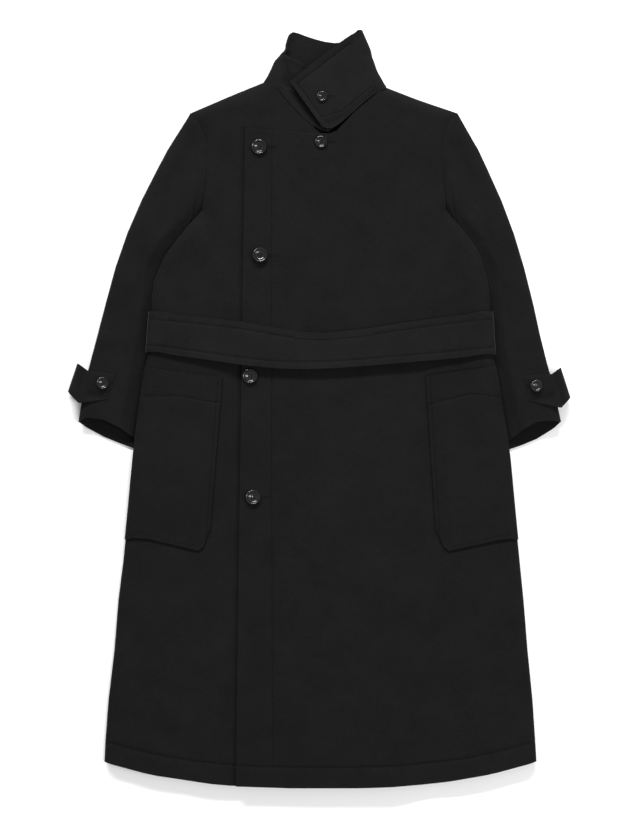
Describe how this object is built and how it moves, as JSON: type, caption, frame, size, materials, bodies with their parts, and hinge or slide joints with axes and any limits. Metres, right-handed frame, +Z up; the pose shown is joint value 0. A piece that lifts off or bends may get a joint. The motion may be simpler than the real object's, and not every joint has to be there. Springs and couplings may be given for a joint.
{
  "type": "wrap coat",
  "caption": "Long wrap coat in heavy dark cloth, laid flat on its back: stand-up collar with a buttoned flap, wrapped front, waist belt, patch pockets and strapped cuffs.",
  "frame": {"origin": "middle of the coat's bounding box, on the surface it lies on", "axes": "+Y from the hem to the collar, +Z up off the surface, +X to the right of a viewer who looks down on the front"},
  "size_m": [0.8053, 1.2154, 0.033],
  "materials": {
    "cloth": "matt",
    "cloth_trim": "matt",
    "button": "gloss"
  },
  "bodies": {
    "root": {"back": "cloth", "front_inner": "cloth", "front_outer": "cloth", "sleeve_left": "cloth", "sleeve_right": "cloth", "pocket_left": "cloth", "pocket_right": "cloth", "sleeve_strap_left": "cloth", "sleeve_strap_right": "cloth", "belt": "cloth_trim", "collar": "cloth_trim", "button_chest": "button", "button_waist": "button", "button_under_belt": "button", "button_hip": "button", "button_neck": "button", "button_collar": "button", "button_sleeve_left": "button", "button_sleeve_right": "button"}
  },
  "joints": []
}
